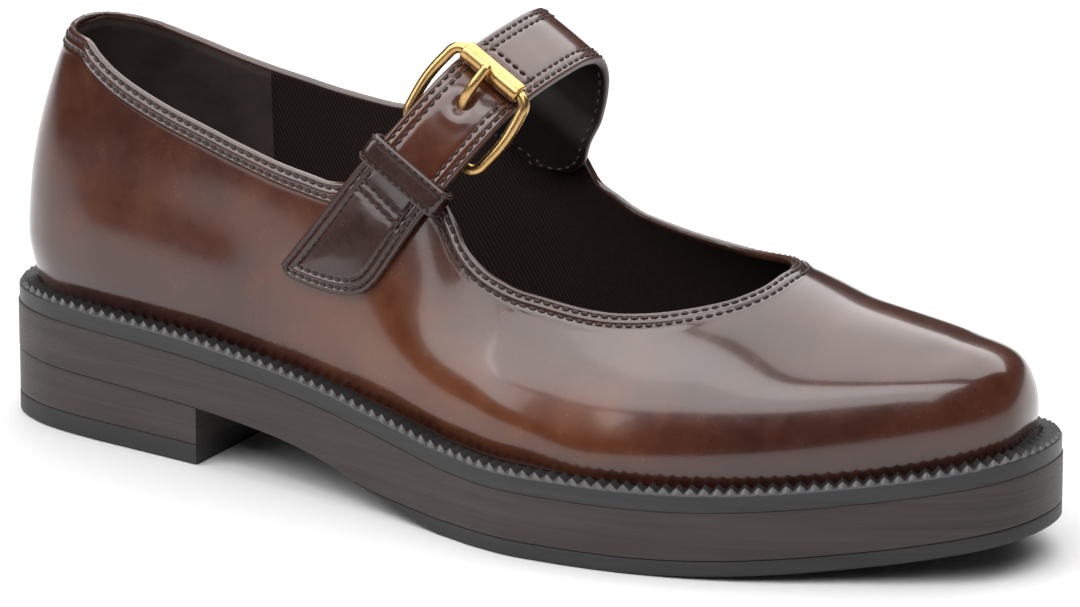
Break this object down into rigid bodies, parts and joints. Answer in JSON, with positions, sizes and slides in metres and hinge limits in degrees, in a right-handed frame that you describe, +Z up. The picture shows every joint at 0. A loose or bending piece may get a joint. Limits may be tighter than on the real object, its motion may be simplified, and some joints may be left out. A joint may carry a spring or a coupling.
{
  "type": "buckled bar-strap shoe",
  "caption": "Right-foot low-cut leather shoe with a buckled bar strap over the instep, on a thick welted platform sole with toe spring, an open arch and a low block heel.",
  "frame": {"origin": "centre of the overall box in plan, on the floor the shoe stands on", "axes": "+X from heel to toe, +Y towards the inner (big toe) side of the foot, +Z up"},
  "size_m": [0.272, 0.0954, 0.1123],
  "materials": {
    "upper_leather": "glossy brush-off brown leather, grey-brown on top and warm chestnut low down",
    "sole_stack": "satin brown-grey, fine stacked lines on the side",
    "tread_rubber": "matt charcoal",
    "lining": "dark smooth lining",
    "buckle_metal": "antique satin brass"
  },
  "bodies": {
    "root": {"outsole": "tread_rubber", "midsole": "sole_stack", "welt": "sole_stack", "heel_block": "sole_stack", "heel_lift": "tread_rubber", "insole": "lining", "upper": "upper_leather", "strap": "upper_leather", "strap_tab": "upper_leather", "keeper_loop": "upper_leather", "buckle_frame": "buckle_metal", "buckle_roller": "buckle_metal", "buckle_prong": "buckle_metal"}
  },
  "joints": []
}
